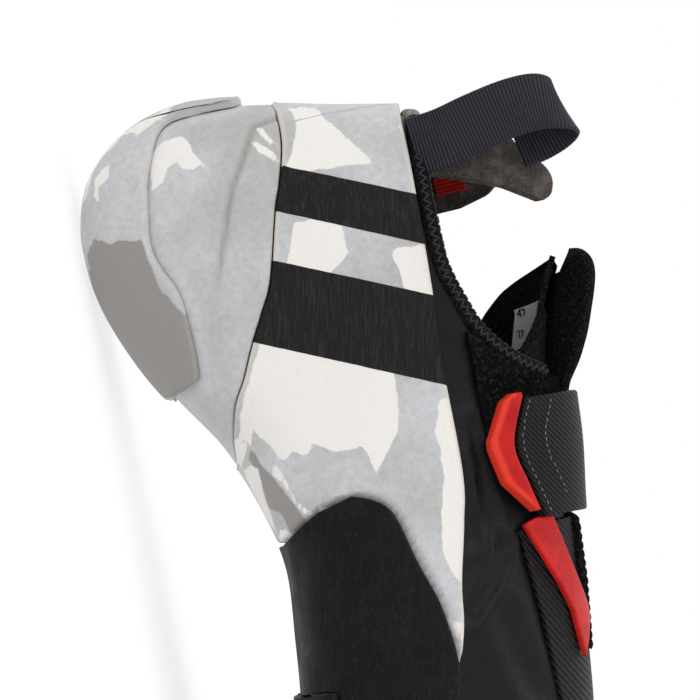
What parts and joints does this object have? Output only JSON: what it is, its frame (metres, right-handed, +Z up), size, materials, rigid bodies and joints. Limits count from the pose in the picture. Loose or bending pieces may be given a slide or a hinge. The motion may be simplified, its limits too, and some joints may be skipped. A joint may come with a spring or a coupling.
{
  "type": "climbing shoe",
  "caption": "Down-turned right climbing shoe with rubber heel cup, wrapped heel rand, hook-and-loop instep strap and two pull loops, standing empty.",
  "frame": {"origin": "under the middle of the shoe's bounding box, on the plane that it stands on", "axes": "+X from heel to toe, +Y to the inner (big toe) side, +Z up"},
  "size_m": [0.2624, 0.0926, 0.1095],
  "materials": {
    "upper": "smooth charcoal synthetic leather",
    "footbed": "matte lining",
    "black_rubber": "matte climbing rubber",
    "heel_rubber": "matte pale grey rubber with cream blotches",
    "rand_rubber": "matte white and grey rubber with black bands",
    "knit": "black elastic knit",
    "felt": "grey-beige microfibre felt",
    "red_webbing": "ribbed red webbing",
    "webbing": "dark ribbed grosgrain",
    "loop_fleece": "black hook-and-loop pile",
    "strap": "charcoal, fine moulded ribs",
    "overlay": "black, fine moulded diagonal ribs",
    "red_plastic": "satin red moulded rubber-like plastic"
  },
  "bodies": {
    "root": {"upper": "upper", "insole": "footbed", "outsole": "black_rubber", "toe_rubber": "black_rubber", "arch_rubber": "black_rubber", "heel_cup": "heel_rubber", "heel_plate": "heel_rubber", "heel_rand": "rand_rubber", "collar_binding": "knit", "heel_tab": "felt", "collar_tab": "red_webbing", "heel_loop": "webbing", "tongue": "knit", "tongue_loop": "knit", "touch_patch": "loop_fleece", "strap": "strap", "strap_tip": "red_plastic", "instep_spear": "red_plastic", "instep_overlay": "overlay"}
  },
  "joints": []
}
